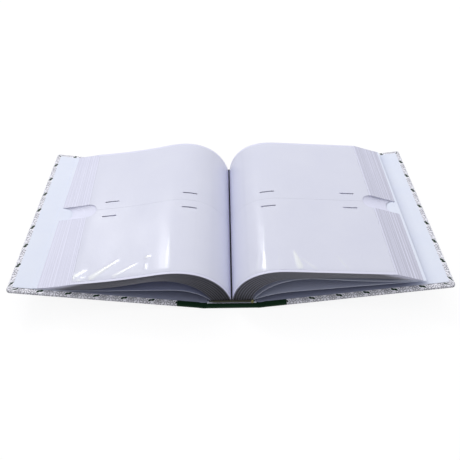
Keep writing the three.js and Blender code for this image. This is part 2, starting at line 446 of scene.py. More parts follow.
PRINTED_PAPER = print_finish()
BOOK_CLOTH = cloth_finish()
GREY_BOARD = mottled_finish("grey_board", 0.9, 0.2, grain=(1.1, 5.0), spread=(0.35, 0.65),
                            dark=(128, 124, 116), pale=(164, 160, 150), depth=0.05)
for node in ("front_board", "back_board", "spine_board"):
    dress_node(node, GREY_BOARD)

# %% [markdown]
# ## The open weave and the glue at the back of the block
# A strip of open woven cloth, glued on under the leaves, holds the block together. It hardly
# shows, so it keeps its simple shape, and its finish draws the lattice of threads.

# %% Finishes of the crash cloth and the binding
CRASH_THREAD = 1.2


def crash_finish():
    finish, tree, shader = new_finish("crash_cloth", roughness=0.9, specular=0.2)
    across, along, _ = object_place(tree)
    from_hole = [((number / CRASH_THREAD).fraction() - 0.5).step("ABSOLUTE") for number in (across, along)]
    thread = from_hole[0].larger(from_hole[1]).ramp(0.28, 0.36)
    tan = blended(tree, thread, colour(96, 92, 84), colour(196, 190, 174))
    painted(tree, shader, tan, thread, 0.1)
    return finish


dress_node("crash_cloth", crash_finish())
# The guards are painted very dark as painted shade in the slot between the pages; the mottle between the two
# tones is the paper's own.
SHADED_BINDING_PAPER = mottled_finish("binding_paper", 0.6, 0.3, grain=(0.6, 3.0), spread=(0, 1),
                               dark=(40, 40, 42), pale=(72, 72, 74), depth=0.1)

# %% [markdown]
# ## How a covering folds over a board
# Paper and cloth are cut larger than the board and turned in over its edges. Seen from the
# end, the sheet makes a C: along the inside, round two small bends at the edge, and back along
# the outside. One profile of that C serves every edge of both covers and the spine.

# %% The folded profile
BEND_RADIUS = 0.9
BEND_STEPS = 5
TILT_START = (-2.0, 3.0)


def folded_profile(turn_in):
    """From the turn-in's inner edge, out to the fold and back as far underneath: how far in from
    the edge each point lies, its level, and the length of sheet run so far."""
    bend = np.linspace(0, math.pi / 2, BEND_STEPS)
    inset = np.concatenate([
        np.linspace(turn_in, BEND_RADIUS, 6)[:-1],
        BEND_RADIUS * (1 - np.sin(bend)),
        BEND_RADIUS * (1 - np.cos(bend)),
        np.linspace(BEND_RADIUS, turn_in, 6)[1:],
    ])
    level = np.concatenate([
        np.full(5, COVERING_HIGH),
        COVERING_HIGH - BEND_RADIUS * (1 - np.cos(bend)),
        COVERING_LOW + BEND_RADIUS * (1 - np.sin(bend)),
        np.full(5, COVERING_LOW),
    ])
    run = np.concatenate([[0], np.cumsum(np.hypot(np.diff(inset), np.diff(level)))])
    return inset, level, run


def beyond_hinge(side, out, along, level):
    """A place on the case by how far out from the hinge line it lies: on the flat spine before
    it, on the tilted cover after it, and softly bent between the two."""
    flat = points_at(side * (HINGE_REACH + out), along, level)
    tilted = points_at(
        side * (HINGE_REACH + out * math.cos(COVER_TILT) - level * math.sin(COVER_TILT)),
        along,
        out * math.sin(COVER_TILT) + level * math.cos(COVER_TILT),
    )
    share = smooth_step(out, *TILT_START)[..., None]
    return flat * (1 - share) + tilted * share


def bend_at_hinge(piece):
    """Bakes the transform of a sheet that crosses a hinge into its mesh."""
    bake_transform(piece)


# %% [markdown]
# ## Paper of the covers
# One sheet of printed paper is folded over three edges of each board, with a mitre at the two
# rounded corners. Carrying the C profile round the three sides makes the folded border: each
# point slides from the edge straight in towards the inner corner. A flat panel fills the
# outside, and the two share their points.

# %% Covers in printed paper
PAPER_START = CLOTH_REACH + 0.3
PANEL_STEP = 12.0


def cover_outline():
    """Points round the three wrapped sides, and for each the point of the inner rectangle that it
    is folded towards."""
    inner_reach = COVER_REACH - TURN_IN
    inner_half = COVER_HALF - TURN_IN
    columns = np.linspace(PAPER_START, inner_reach, 14)
    rows = np.linspace(-inner_half, inner_half, 18)
    arc = np.linspace(0, math.pi / 2, 6)
    outer_tail = points_at(np.append(columns, COVER_REACH - CORNER_RADIUS), -COVER_HALF)
    corner = points_at(COVER_REACH - CORNER_RADIUS * (1 - np.sin(arc)),
                       -COVER_HALF + CORNER_RADIUS * (1 - np.cos(arc)))
    fore_edge = points_at(COVER_REACH, rows)
    lower = np.concatenate([outer_tail, corner[1:]])
    upper = lower[::-1] * [1, -1]
    outer = np.concatenate([lower, fore_edge, upper])
    inner = points_at(np.minimum(outer[:, 0], inner_reach), np.clip(outer[:, 1], -inner_half, inner_half))
    return outer, inner, columns, rows


def cover_paper(side):
    outer, inner, columns, rows = cover_outline()
    inset, level, run = folded_profile(TURN_IN)
    share = (inset / TURN_IN)[None, :, None]
    plan = outer[:, None] * (1 - share) + inner[:, None] * share
    border = beyond_hinge(side, plan[..., 0], plan[..., 1], level[None, :])
    unfolded = ((run[-1] - run) / TURN_IN)[None, :, None]
    flat = inner[:, None] + (outer - inner)[:, None] * unfolded
    out, along = np.meshgrid(columns, rows, indexing="ij")
    panel = beyond_hinge(side, out, along, COVERING_LOW)
    name = COVER_OF[side]
    piece = make_piece(f"{name}_cover_paper",
                       [grid(border, flat), grid(panel, points_at(out, along))],
                       PRINTED_PAPER, COVERING, merge=0.01)
    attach(piece, f"{name}_cover")
    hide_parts(f"{name}_paper")


for side in (LEFT, RIGHT):
    cover_paper(side)

# %% [markdown]
# ## Book cloth over the spine and the joints
# A strip of cloth joins the two covers across the spine. In the joints there is no board, so the strip can
# bend. It is the same C profile, carried outwards, and it sinks a little where nothing fills it.

# %% Cloth of the spine and the joints
BOARD_START = (4.0, 7.5)
CLOTH_SLACK = 0.75
JOINT_END = 9.0


def cloth_strip(name, side, outs, body=None):
    """The C profile at tail and head, carried out from the hinge line."""
    inset, level, run = folded_profile(TURN_IN)
    tail = -(COVER_HALF - inset)
    along = np.concatenate([tail, np.linspace(tail[-1], -tail[-1], 14)[1:-1], -tail[::-1]])
    height = np.concatenate([level, np.full(12, COVERING_LOW), level[::-1]])
    length = np.concatenate([[0], np.cumsum(np.hypot(np.diff(along), np.diff(height)))])
    filled = 1 - smooth_step(outs, -3.5, -0.5) + smooth_step(outs, *BOARD_START)
    slack = CLOTH_SLACK + (1 - CLOTH_SLACK) * filled
    folded = COVERING_LOW + (height[None, :] - COVERING_LOW) * slack[:, None]
    if body == "spine":
        folded = height[None, :] + 0 * outs[:, None]
    points = beyond_hinge(side, outs[:, None], along[None, :], folded)
    flat = points_at(side * (HINGE_REACH + outs)[:, None], length[None, :])
    return make_piece(name, [grid(points, flat)], BOOK_CLOTH, COVERING)


spine_outs = np.linspace(-HINGE_REACH - SPINE_BOARD_REACH, SPINE_BOARD_REACH - HINGE_REACH, 12)
spine_strip = cloth_strip("spine_cover_cloth", RIGHT, spine_outs, "spine")
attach(spine_strip, "spine")
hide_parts("spine_cloth")
for side in (LEFT, RIGHT):
    cover = COVER_OF[side]
    joint_outs = np.concatenate([np.linspace(SPINE_BOARD_REACH - HINGE_REACH, JOINT_END, 25),
                                 np.linspace(JOINT_END, CLOTH_REACH, 6)[1:]])
    strip = cloth_strip(f"{cover}_joint_cloth", side, joint_outs)
    bend_at_hinge(strip)
    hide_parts(f"{cover}_cloth")

# %% [markdown]
# ## Pastedowns
# Inside each cover a pale sheet hides the turn-ins, and leaves five millimetres of the print in
# view round it. The same sheet runs on over the joint to the spine. It is one thin grid that
# dips into the joint and is a little uneven where the glue drew it down.

# %% Pastedowns across the joints
SPINE_LINING_REACH = node_box("spine_lining")[1][0]
LINING_HALF = LEAF_HALF + 1.2
LINING_SHADE = 0.9
PASTEDOWN_DIP = 0.7
PASTEDOWN_WAVE = 0.05
UNDER_SHADE = {LEFT: 0.7, RIGHT: 0.73}
SHADE_ENDS = {LEFT: (160, 192), RIGHT: (176, 216)}


def pastedown(side):
    cover = COVER_OF[side]
    outs = np.concatenate([np.linspace(SPINE_LINING_REACH - HINGE_REACH + 0.2, 10, 27),
                           np.linspace(10, PASTEDOWN_REACH, 40)[1:]])
    out, y = np.meshgrid(outs, np.linspace(-PASTEDOWN_HALF, PASTEDOWN_HALF, 46))
    dip = PASTEDOWN_DIP * smooth_step(out, -3.0, 0.5) * (1 - smooth_step(out, *BOARD_START))
    uneven = PASTEDOWN_WAVE * waves(3 + side, 7, out, y, 90, 40) * smooth_step(out, 8, 20)
    level = LINING_LEVEL - dip + uneven
    # Painted shade under the block of leaves, fading out past its fore-edge.
    under = UNDER_SHADE[side] * (1 - smooth_step(HINGE_REACH + out, *SHADE_ENDS[side]))
    sheet = grid(beyond_hinge(side, out, y, level), points_at(out, y), None, under)
    piece = make_piece(f"{cover}_pastedown_sheet", [sheet], END_PAPER, ENDPAPER)
    bend_at_hinge(piece)
    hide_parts(f"{cover}_pastedown")


for side in (LEFT, RIGHT):
    pastedown(side)


def spine_lining():
    """The sheet over the spine board, painted in shade where the block lies on it. Its tail end, without
    that shade, shows under the band as a pale line.
    """
    out, y = np.meshgrid(np.linspace(-SPINE_LINING_REACH, SPINE_LINING_REACH, 12),
                         np.linspace(-LINING_HALF, LINING_HALF, 60))
    under = LINING_SHADE * (1 - smooth_step(np.abs(y), LEAF_HALF - 0.5, LEAF_HALF + 0.5))
    sheet = grid(points_at(out, y, LINING_LEVEL), None, None, under)
    piece = make_piece("spine_lining_sheet", [sheet], END_PAPER, ENDPAPER)
    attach(piece, "spine")
    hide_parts("spine_lining")


spine_lining()

# %% [markdown]
# ## How a leaf lies
# A leaf stands nearly upright at the spine, arches over and lies almost flat on the leaves below. Its angle
# from upright, its lean, is a smooth step of the distance run along it, and its outer half settles back a
# little. Adding up the lean's sine and cosine in short steps gives the place of every point, and the sheet
# keeps its length. When a cover closes, the sheet has to stand straight, so each point should swing by the
# angle at which the root sees it. A blend between the spine and the leaf's body would come close to that if
# it ran along a tilted line. The script works out where such a blend starts and ends: it tries many starts
# and takes the best.

# %% The curve of a leaf
LEAF_LENGTH = 190.0
LONGEST_SHEET = 200.0
BEND_LEAD = 15.0
SETTLE_FROM = 90.0
ROOT_LEVEL = node_box("leaf_binding")[1][2] + 0.45
TOP_LEAF = {
    LEFT: dict(root=0.9, start=12, finish=102.5, bend=105, settle=7),
    RIGHT: dict(root=0.9, start=0, finish=93.5, bend=88.5, settle=0),
}
LOWEST_LEAF = {
    LEFT: dict(root=20.5, start=22.5, finish=103.2, bend=91, settle=20),
    RIGHT: dict(root=20.5, start=4.2, finish=90.3, bend=69, settle=-5.5),
}
EASE = {LEFT: 0.75, RIGHT: 1.0}


def leaf_curve(side, share):
    """The curve of a leaf by its share of the way down the stack: a mix of the top and the
    lowest one's values, where the ease makes the left leaves take the lowest shape sooner."""
    top, lowest = TOP_LEAF[side], LOWEST_LEAF[side]
    eased = max(share, 0) ** EASE[side]
    curve = {key: (1 - eased) * top[key] + eased * lowest[key] for key in top}
    curve["root"] = (1 - share) * top["root"] + share * lowest["root"]
    return curve


def lean(curve, reach):
    """Angle from upright at each distance along a sheet."""
    bent = smooth_step(reach, -BEND_LEAD, curve["bend"])
    settled = smooth_step(reach, SETTLE_FROM, LEAF_LENGTH)
    return np.radians(curve["start"] + (curve["finish"] - curve["start"]) * bent - curve["settle"] * settled)


def leaf_run(curve):
    """Distances along a sheet, and X and Z there, added up from its root in short steps."""
    distance = np.linspace(0, LONGEST_SHEET, 801)
    angle = lean(curve, (distance[1:] + distance[:-1]) / 2)
    x = curve["root"] + np.append(0, np.cumsum(np.sin(angle))) * distance[1]
    z = ROOT_LEVEL + np.append(0, np.cumsum(np.cos(angle))) * distance[1]
    return distance, x, z


def on_leaf(side, curve, reach, along, lift=0.0):
    """Points of a sheet: by distance from its root, along the spine, and lifted off it."""
    reach = reach + 0 * along
    distance, x, z = leaf_run(curve)
    angle = lean(curve, reach)
    return points_at(
        side * (np.interp(reach, distance, x) - lift * np.cos(angle)),
        along,
        np.interp(reach, distance, z) + lift * np.sin(angle),
    )


BLEND_TILT = {LEFT: math.radians(15), RIGHT: math.radians(50)}
BLEND_LEAD = 600.0
COVER_WEIGHT = 0.1


def blend_places(side, curve, length):
    """Where the blend of a sheet starts and ends along the tilted line. For many starts, what
    the blend would turn each point by is compared with the angle at which the root sees it. The
    nearer a sheet is to its cover, the more a point counts that would press into the board."""
    distance, x, z = leaf_run(curve)
    x, z = x[distance <= length], z[distance <= length]
    out, up = x - curve["root"], z - ROOT_LEVEL
    seen = np.arctan2(out, up)
    line = x * math.cos(BLEND_TILT[side]) + z * math.sin(BLEND_TILT[side])
    starts = np.linspace(line[0] - BLEND_LEAD, line[0], 201)[:, None]
    stray = seen - seen[-1] * smooth_step(line, starts, line[-1])
    weight = np.where(stray > 0, 1 + COVER_WEIGHT * curve["root"], 1)
    miss = np.hypot(out, up) * weight * np.abs(stray)
    return starts[miss.max(axis=1).argmin(), 0], line[-1]


def blended_leaf(piece, side, curve, length=LEAF_LENGTH):
    """Works out where a blend from the spine to the leaf's body would start and end, and bakes the leaf's
    transform into its mesh.
    """
    tilt = BLEND_TILT[side]
    start, end = [(side * place * math.cos(tilt) * MM, 0, place * math.sin(tilt) * MM)
                  for place in blend_places(side, curve, length)]
    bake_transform(piece)


# %% [markdown]
# ## What is cut in a leaf
# Every leaf has a thumb notch in the middle of its fore-edge, open at the edge and half round
# inside, and four short slits. A boolean cut would leave ragged faces on a thin sheet. Here the
# grid itself follows the cut: one group of columns ends on the notch's curve, and the squares
# inside the notch and the slits are left out.

# %% The grid of a leaf
NOTCH_RADIUS = 10.5
NOTCH_DEPTH = 13.0
SLIT_REACHES = (67.0, 160.0)
SLIT_LENGTH = 16.5
SLIT_WIDTH = 1.7
SLIT_OFFSET = 12.0
FIXED_REACH = 170.0
END_STRIP = 0.15


def leaf_rows(spacing, low, high):
    """Places along the spine between low and high, close together at the notch and the slits."""
    notch = NOTCH_RADIUS * np.sin(np.linspace(0, math.pi / 2, 8))
    slit = [SLIT_OFFSET - SLIT_WIDTH / 2, SLIT_OFFSET + SLIT_WIDTH / 2]
    far = np.arange(SLIT_OFFSET + spacing, LEAF_HALF, spacing)
    half = np.concatenate([notch, slit, far])
    rows = np.concatenate([-half[:0:-1], half])
    inside = rows[(rows > low + END_STRIP) & (rows < high - END_STRIP)]
    return np.concatenate([[low, low + END_STRIP], inside, [high - END_STRIP, high]])


def leaf_grid(rows, spacing, start=0.0, edge=LEAF_LENGTH, skew=0.0, notch_edge=LEAF_LENGTH):
    """Distance from the root and place along the spine of every grid point, and which squares
    stay. skew makes the leaf reach further at its tail and less at its head."""
    slit_ends = [reach + half for reach in SLIT_REACHES for half in (-SLIT_LENGTH / 2, SLIT_LENGTH / 2)]
    fixed = np.unique(np.concatenate([np.arange(start, FIXED_REACH, spacing), slit_ends, [FIXED_REACH]]))
    along = rows[:, None]
    longer = -skew * along / LEAF_HALF
    notch_middle = notch_edge + longer - NOTCH_DEPTH + NOTCH_RADIUS
    inner = notch_middle - np.sqrt(np.clip(NOTCH_RADIUS**2 - along**2, 0, None))
    curved = FIXED_REACH + np.linspace(0, 1, 5)[1:] * (inner - FIXED_REACH)
    straight = notch_middle + np.linspace(0, 1, 3)[1:] * (edge + longer - notch_middle)
    reach = np.hstack([fixed + 0 * along, curved, straight])
    middle_reach = (reach[0, 1:] + reach[0, :-1]) / 2
    middle_along = (rows[1:] + rows[:-1]) / 2
    kept = np.ones((len(rows) - 1, reach.shape[1] - 1), bool)
    kept[np.abs(middle_along) < NOTCH_RADIUS, len(fixed) + len(curved[0]) - 1:] = False
    in_slit = np.abs(np.abs(middle_along) - SLIT_OFFSET) < SLIT_WIDTH / 2
    for slit in SLIT_REACHES:
        kept[np.ix_(in_slit, np.abs(middle_reach - slit) < SLIT_LENGTH / 2)] = False
    return reach, along + 0 * reach, kept


# %% [markdown]
# ## The block of leaves
# About two dozen leaves lie on each side. Two sheets stand for each leaf of the frame. The leaves splay a
# little, differently at tail and head, so that their fore-edges fan out beside the top page as in a book
# that has been leafed through. Near the spine every third sheet gets less of the painted shade at its ends,
# which gives the fine light lines of a stack seen from its end.

# %% Leaves under the top page
LEAVES = 12
LOWER_SHEETS = 2 * (LEAVES - 1)
SHEET_THICKNESS = 0.2
SHEET_STEPS = (16.0, 7.0)
UNEVEN_SKEW = 0.4
UNEVEN_EDGE = 0.5
LOWEST_LONGER = 1.5
END_SHADE_DEPTH = 6.0
OPEN_ENDS = (165, 185)
FORE_EDGE_SHADE = {LEFT: 0.18, RIGHT: 0.36}
FAN_SKEW = {LEFT: (-4.0, 0.0), RIGHT: (1.0, -0.5)}
END_STRENGTH = {LEFT: (0.965, 0.82), RIGHT: (0.87, 0.78)}
LIT_NEAR_SPINE = {LEFT: 0.25, RIGHT: 0.5}


def end_shade(side, reach, along, depth, strength):
    """Painted shade: dark at the tail and head ends, where the leaves shade each other, and less towards the
    fore-edge, where light gets in. The cut at the fore-edge itself gets a faint line of painted shade."""
    near_end = 1 - smooth_step(LEAF_HALF - np.abs(along), 0, depth)
    shade = strength * near_end * (1 - smooth_step(reach, *OPEN_ENDS))
    shade[:, -1] = np.maximum(shade[:, -1], FORE_EDGE_SHADE[side])
    return shade


def lower_sheet(side, share, lit, seed):
    """One sheet of the block as a grid, a little uneven so that no two are alike."""
    curve = leaf_curve(side, share)
    rows = leaf_rows(SHEET_STEPS[0], -LEAF_HALF, LEAF_HALF)
    first, last = FAN_SKEW[side]
    chance = np.random.default_rng(seed)
    skew = first + (last - first) * share + chance.uniform(-UNEVEN_SKEW, UNEVEN_SKEW)
    edge = LEAF_LENGTH + chance.uniform(-UNEVEN_EDGE, UNEVEN_EDGE) + LOWEST_LONGER * share
    reach, along, kept = leaf_grid(rows, SHEET_STEPS[1], edge=edge, skew=skew, notch_edge=edge)
    points = on_leaf(side, curve, reach, along)
    near_root = 1 - smooth_step(reach, 0, SETTLE_FROM)
    deep, open_end = END_STRENGTH[side]
    # Painted shade at the ends: deepest near the root, and less on the sheets that are lit there.
    strength = (open_end + (deep - open_end) * near_root) * (1 - lit * near_root)
    shade = end_shade(side, reach, along, END_SHADE_DEPTH, strength)
    return grid(points, points_at(reach, along), kept, shade)


for side in (LEFT, RIGHT):
    block = BLOCK_OF[side]
    for number in range(2, LEAVES + 1):
        share = (number - 1) / (LEAVES - 1)
        sheets = []
        for place in (2 * number - 4, 2 * number - 3):
            lit = LIT_NEAR_SPINE[side] if place % 3 == 0 else 0.0
            sheets.append(lower_sheet(side, (place + 1) / LOWER_SHEETS, lit, 50 * place + side + 1))
        leaf = make_piece(f"{block}_sheets_{number:02d}", sheets, PAGE_CARD, SHEET_THICKNESS)
        blended_leaf(leaf, side, leaf_curve(side, share))
        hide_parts(f"{block}_leaf_{number:02d}")

# %% [markdown]
# ## The two open pages
# The page on top can be lifted by itself. Its card is a finer grid than the rest, because it is seen whole.
# When a cover closes, the page has to straighten with the others, but its body hangs on the next leaf's, so
# it can't be blended with the spine.

# %% Cards of the open pages
CARD_THICKNESS = 0.3
CARD_STEPS = (5.0, 2.5)
CARD_EDGE_SHADE = 0.5


def flattens(piece):
    """Gives a piece its own copy of its mesh."""
    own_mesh(piece)


def top_page(side):
    curve = leaf_curve(side, 0)
    rows = leaf_rows(CARD_STEPS[0], -LEAF_HALF, LEAF_HALF)
    reach, along, kept = leaf_grid(rows, CARD_STEPS[1], skew=FAN_SKEW[side][0])
    shade = end_shade(side, reach, along, END_STRIP, CARD_EDGE_SHADE)
    sheet = grid(on_leaf(side, curve, reach, along), points_at(reach, along), kept, shade)
    page = make_piece(f"{BLOCK_OF[side]}_page_card", [sheet], PAGE_CARD, CARD_THICKNESS)
    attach(page, f"{BLOCK_OF[side]}_leaf_01")
    flattens(page)
    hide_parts(f"{BLOCK_OF[side]}_leaf_01")


for side in (LEFT, RIGHT):
    top_page(side)

# %% [markdown]
# ## Pockets of clear film
# Two pockets of clear film are welded on each page, one above the other. Film shows as film only through its
# wrinkles: where it pulls from a weld or a corner it rises in narrow ridges, and each ridge catches the
# light as a white streak. So the wrinkles are real relief, and a painted highlight makes their streaks
# whiter. Each ridge runs between two places on the page, is broad at the weld and fades out at both ends.

# %% Pockets on the open pages
POCKET_START = 36.0
POCKET_MARGIN = 3.0
POCKET_SPLIT = 0.05
FILM_START = 6.0
FILM_THICKNESS = 0.1
FILM_STEPS = (1.6, 1.5)
WELD_LIFT = 0.22
FILM_LIFT = 0.2
FILM_WAVE = 0.16
WELD_EASE = (6.0, 4.0)

# Each ridge: reach and place along the spine of both ends, half width and height
RIDGES = {
    LEFT: [
        (190, -103, 171, -89, 2.2, 0.9),
        (180, -105, 169, -97, 1.3, 0.5),
        (167, -103, 138, -80, 2.3, 1.1),
        (143, -103, 117, -88, 1.8, 0.6),
        (84, -106, 86, -50, 3.4, 0.16),
        (58, -100, 57, 60, 1.0, 0.12),
        (110, -83, 104, -80, 1.5, 0.7),
        (108, -99, 108, -90, 1.4, 0.4),
    ],
    RIGHT: [
        (57, -106, 58, -78, 3.0, 0.2),
        (57, -100, 62, -18, 2.2, 0.12),
        (49, -104, 51, -78, 1.6, 0.15),
        (93, -104, 88, -79, 2.6, 0.8),
        (110, -105, 93, -88, 1.6, 0.3),
        (142, -104, 129, -80, 1.6, 0.22),
        (72, -104, 73, -70, 1.4, 0.15),
    ],
}


def ridge_height(reach, along, ridge):
    """Height of one ridge: a bell across it, and nothing at its ends. It narrows along its run."""
    start = np.array(ridge[0:2], float)
    run = np.array(ridge[2:4], float) - start
    width, height = ridge[4:6]
    share = ((reach - start[0]) * run[0] + (along - start[1]) * run[1]) / (run @ run)
    inside = np.clip(share, 0, 1)
    gap = np.hypot(reach - start[0] - inside * run[0], along - start[1] - inside * run[1])
    taper = np.sqrt(np.clip(4 * inside * (1 - inside), 0, 1))
    return height * taper * np.exp(-((gap / (width * (1.3 - inside))) ** 2))


def film_relief(side, reach, along):
    """Height of the film over the middle of the card: least at the welds, with soft waves and ridges between
    them. Also how far the ridges stand out, as a share, which sets the painted highlight on the creases."""
    far, high = LEAF_LENGTH - POCKET_MARGIN, LEAF_HALF - POCKET_MARGIN
    weld = smooth_step(reach, POCKET_START, POCKET_START + WELD_EASE[0])
    weld = weld * (1 - smooth_step(reach, far - WELD_EASE[0], far))
    weld = weld * (1 - smooth_step(np.abs(along), high - WELD_EASE[1], high))
    soft = 0.5 + 0.5 * waves(11 + side, 9, reach, along, 70, 22)
    relief = WELD_LIFT + (FILM_LIFT + FILM_WAVE * np.clip(soft, 0, 1)) * weld
    creases = sum(ridge_height(reach, along, ridge) for ridge in RIDGES[side])
    return relief + creases, np.clip(creases, 0, 1)


def pocket(side, end):
    """The film over one pocket. end is 1 for the one near the head and -1 near the tail."""
    name = "upper" if end > 0 else "lower"
    curve = leaf_curve(side, 0)
    limits = sorted([end * POCKET_SPLIT, end * (LEAF_HALF - POCKET_MARGIN)])
    rows = leaf_rows(FILM_STEPS[0], *limits)
    reach, along, kept = leaf_grid(rows, FILM_STEPS[1], start=FILM_START,
                                   edge=LEAF_LENGTH - POCKET_MARGIN, skew=FAN_SKEW[side][0])
    # The share of painted highlight on the creases goes to the film as its shade attribute.
    lift, crease_highlight = film_relief(side, reach, along)
    sheet = grid(on_leaf(side, curve, reach, along, lift), points_at(reach, along), kept, crease_highlight)
    film = make_piece(f"{BLOCK_OF[side]}_{name}_film", [sheet], CLEAR_FILM, FILM_THICKNESS)
    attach(film, f"{BLOCK_OF[side]}_leaf_01")
    flattens(film)
    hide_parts(f"{BLOCK_OF[side]}_pocket_{name}")


for side in (LEFT, RIGHT):
    for end in (1, -1):
        pocket(side, end)

# %% [markdown]
# ## Free endpapers
# The first and last sheet of the block are free endpapers. On the left one hangs between the
# leaves and the cover, and on the right there are two. They are plain sheets on the same kind
# of curve, with a slow wave in them, as paper that hangs free has.

# %% Flyleaves
FLYLEAVES = {
    "front_flyleaf": (LEFT, 184.0, dict(root=22.6, start=35.4, finish=90.1, bend=53.4, settle=8.4)),
    "back_flyleaf_upper": (RIGHT, 183.0, dict(root=22.6, start=25.3, finish=95.7, bend=87.1, settle=7.9)),
    "back_flyleaf_lower": (RIGHT, 177.0, dict(root=23.6, start=56.8, finish=83.4, bend=50.4, settle=0)),
}
FLYLEAF_SHADE = {LEFT: 0.79, RIGHT: 0.57}
FLYLEAF_SHADE_END = (150, 172)
FLYLEAF_RIM = 0.7
RIM_LIGHT = 0.6
FLYLEAF_LIFT = 0.15
FLYLEAF_SWAY = 0.25


def flyleaf(node, side, length, curve):
    """A free endpaper, painted in shade where it lies under the block. The last row at tail and head is its
    cut edge, where the painted shade is lighter, as it catches more light.
    """
    rows = np.linspace(-LEAF_HALF + FLYLEAF_RIM, LEAF_HALF - FLYLEAF_RIM, 30)
    rows = np.concatenate([[-LEAF_HALF], rows, [LEAF_HALF]])
    reach, along = np.meshgrid(np.linspace(0, length, 45), rows)
    sway = FLYLEAF_SWAY * waves(21 + len(node), 5, reach, along, 160, 80) * smooth_step(reach, 30, 120)
    points = on_leaf(side, curve, reach, along, FLYLEAF_LIFT + sway)
    under = FLYLEAF_SHADE[side] * (1 - smooth_step(reach, *FLYLEAF_SHADE_END))
    under = under * (1 - RIM_LIGHT * (np.abs(along) == LEAF_HALF))
    sheet = make_piece(f"{node}_sheet", [grid(points, points_at(reach, along), None, under)],
                       END_PAPER, ENDPAPER)
    blended_leaf(sheet, side, curve, length)
    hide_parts(node)


for node, (side, length, curve) in FLYLEAVES.items():
    flyleaf(node, side, length, curve)

# %% [markdown]
# ## The glued back of the block
# The leaves hang on paper guards that are glued together at the back. Between the two halves
# of the block a deep slot stays open, which the eye sees as the dark line down the middle of
# the spread. The profile across the spine is a comb with one ridge for each guard and a groove
# in the middle, closed underneath.

# %% Guards and the dark slot between the pages
GUARD_PITCH = 1.65
GUARD_RISE = 0.25
SLOT_DEPTH = 1.9
SLOT_WALL = (0.8, 1.1)
SHOULDER_DROP = 0.8
SHOULDER_WIDTH = 2.0


def binding_profile():
    """Points of the closed comb profile, across the spine and up."""
    low, high = node_box("leaf_binding")
    across = np.linspace(low[0], high[0], 260)
    comb = GUARD_RISE * np.abs(np.sin(across * math.pi / GUARD_PITCH))
    slot = SLOT_DEPTH * (1 - smooth_step(np.abs(across), *SLOT_WALL))
    shoulder = SHOULDER_DROP * smooth_step(np.abs(across), high[0] - SHOULDER_WIDTH, high[0]) ** 2
    top = high[2] - comb - slot - shoulder
    floor = np.full(40, low[2])
    return (np.concatenate([across, np.linspace(high[0], low[0], 40), across[:1]]),
            np.concatenate([top, floor, top[:1]]))


def leaf_guards():
    across, up = binding_profile()
    along = np.linspace(-LEAF_HALF, LEAF_HALF, 12)
    body = points_at(across, along[:, None], up)
    inside = node_box("leaf_binding")[0][2] + 0.2
    caps = [np.stack([points_at(end[:, 0], end[:, 1], inside), end]) for end in (body[0], body[-1])]
    piece = make_piece("leaf_guards", [grid(part) for part in (body, *caps)], SHADED_BINDING_PAPER,
                       closed=True, merge=0.02)
    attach(piece, "spine")
    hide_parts("leaf_binding")


leaf_guards()

# %% [markdown]
# ## Head and tail bands
# A band closes each end of the block: dark thread wound over a thin core, with an olive thread
# every few turns. A tube is carried across the spine and swells once for each turn of thread.
# It ends in a small frayed tuft of olive threads.

# %% Woven bands
BAND_TURN = 0.8
BAND_RADIUS = 1.1
BAND_RISE = 0.9
BAND_SWELL = 0.08
TUFT_THREADS = 9
TUFT_REACH = 3.0
TUFT_CURL = 1.3
TUFT_RISE = 1.6
TUFT_RADIUS = 0.4


def band_finish():
    finish, tree, shader = new_finish("band_thread", roughness=0.6, specular=0.35, Sheen_Weight=0.2)
    across, _ = flat_place(tree)
    stripe = (across / (BAND_TURN * 4)).fraction().below(0.25)
    mottle = noise(tree, joined(tree, *object_place(tree)), 3.0)
    dark = blended(tree, mottle, colour(28, 30, 22), colour(52, 52, 34))
    thread = blended(tree, stripe, dark, colour(62, 60, 36))
    loose = blended(tree, shade_of(tree), thread, colour(150, 146, 92))
    tree.links.new(loose, shader.inputs["Base Color"])
    return finish


BAND_THREAD = band_finish()


def tube(middle, radius, count=14):
    """A tube round a line of middle points, with a radius for each. The section's two directions
    are square to the line's heading."""
    heading = np.gradient(middle, axis=0)
    heading = heading / np.linalg.norm(heading, axis=1, keepdims=True)
    side_way = np.cross(heading, [0.03, 0.02, 1.0])
    side_way = side_way / np.linalg.norm(side_way, axis=1, keepdims=True)
    up_way = np.cross(side_way, heading)
    turn = np.linspace(0, 2 * math.pi, count + 1)
    ring = side_way[:, None] * np.cos(turn)[None, :, None] + up_way[:, None] * np.sin(turn)[None, :, None]
    points = middle[:, None] + ring * radius[:, None, None]
    run = np.concatenate([[0], np.cumsum(np.linalg.norm(np.diff(middle, axis=0), axis=1))])
    return grid(points, points_at(run[:, None], turn[None, :] * radius.max()))


def band_middle(node):
    """A place on the band's middle line: it lies against the ends of the leaves, high up."""
    low, high = node_box(node)
    outward = math.copysign(1, low[1])
    return np.array([high[0], outward * (LEAF_HALF + 0.1 + BAND_RADIUS), high[2] + BAND_RISE - BAND_RADIUS])


def band(node):
    low, high = node_box(node)
    across = np.linspace(low[0], high[0], 240)
    swell = BAND_RADIUS * (1 - BAND_SWELL + BAND_SWELL * np.abs(np.sin(math.pi * across / BAND_TURN)))
    closing = np.sqrt(np.clip(1 - (np.abs(across) / high[0]) ** 40, 0, 1))
    line = band_middle(node) * [0, 1, 1] + across[:, None] * [1, 0, 0]
    return [tube(line, swell * closing + 0.001)]


